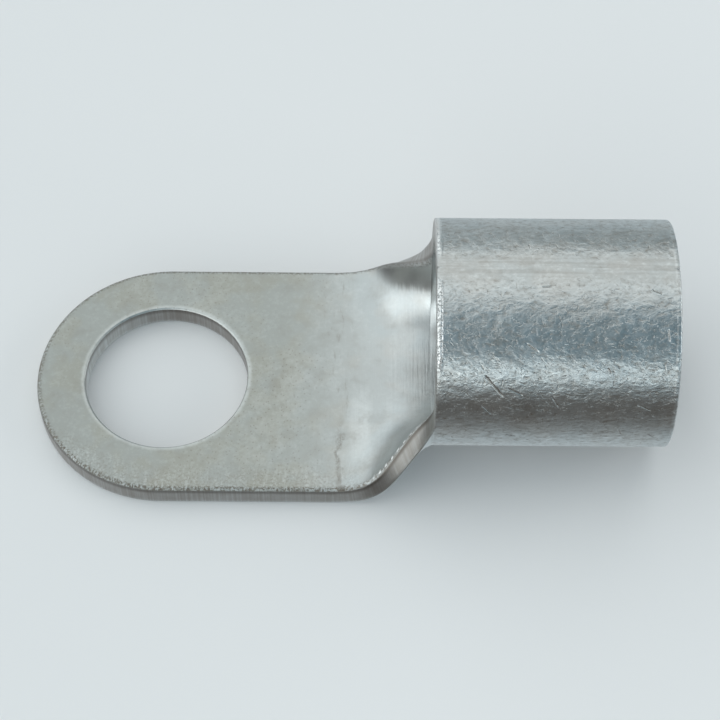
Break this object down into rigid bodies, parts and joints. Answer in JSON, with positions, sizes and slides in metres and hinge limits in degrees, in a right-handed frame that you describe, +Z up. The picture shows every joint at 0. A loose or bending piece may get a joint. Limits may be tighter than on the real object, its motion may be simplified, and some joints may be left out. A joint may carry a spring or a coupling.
{
  "type": "ring terminal",
  "caption": "Bare ring terminal: a flat tongue with a round stud hole, and a neck that curls up into a brazed, open-ended tube for a heavy cable.",
  "frame": {"origin": "centre of the stud hole on the tongue's underside", "axes": "+X along the barrel, out of its mouth; +Z up through the stud hole, from the tongue's underside to its top; +Y across the tongue"},
  "size_m": [0.0496, 0.021, 0.0176],
  "materials": {
    "tinned_copper": "thin tin plate over rolled copper, dull grey with fine rolling marks and handling scratches"
  },
  "bodies": {
    "root": {"ring_terminal": "tinned_copper"}
  },
  "joints": []
}
